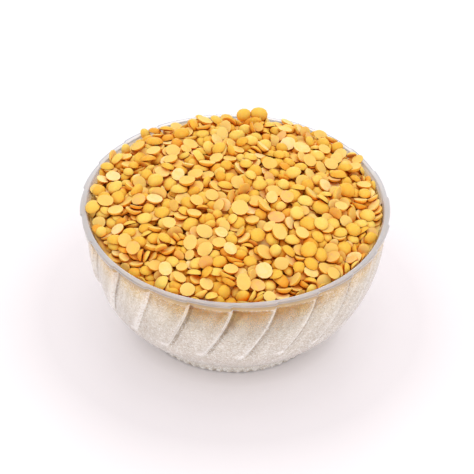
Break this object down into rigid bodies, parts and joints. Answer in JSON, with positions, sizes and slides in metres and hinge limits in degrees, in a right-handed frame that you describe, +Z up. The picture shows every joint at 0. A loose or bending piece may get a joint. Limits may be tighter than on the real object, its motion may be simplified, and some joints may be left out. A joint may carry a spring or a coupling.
{
  "type": "dish of split dal",
  "caption": "Pressed-glass bowl with swirled flutes and a beaded foot, heaped above the rim with dry split yellow dal.",
  "frame": {"origin": "centre of the bowl's foot, on the surface it stands on", "axes": "+Z up along the bowl's axis, -Y towards the viewer of the picture, +X to the right"},
  "size_m": [0.1198, 0.1208, 0.0655],
  "materials": {
    "pressed_glass": "pressed clear glass with lightly frosted swirl panels",
    "split_dal": "dry satin seed, paler on the split faces"
  },
  "bodies": {
    "root": {"glass_bowl": "pressed_glass", "dal_heap": "split_dal"}
  },
  "joints": []
}
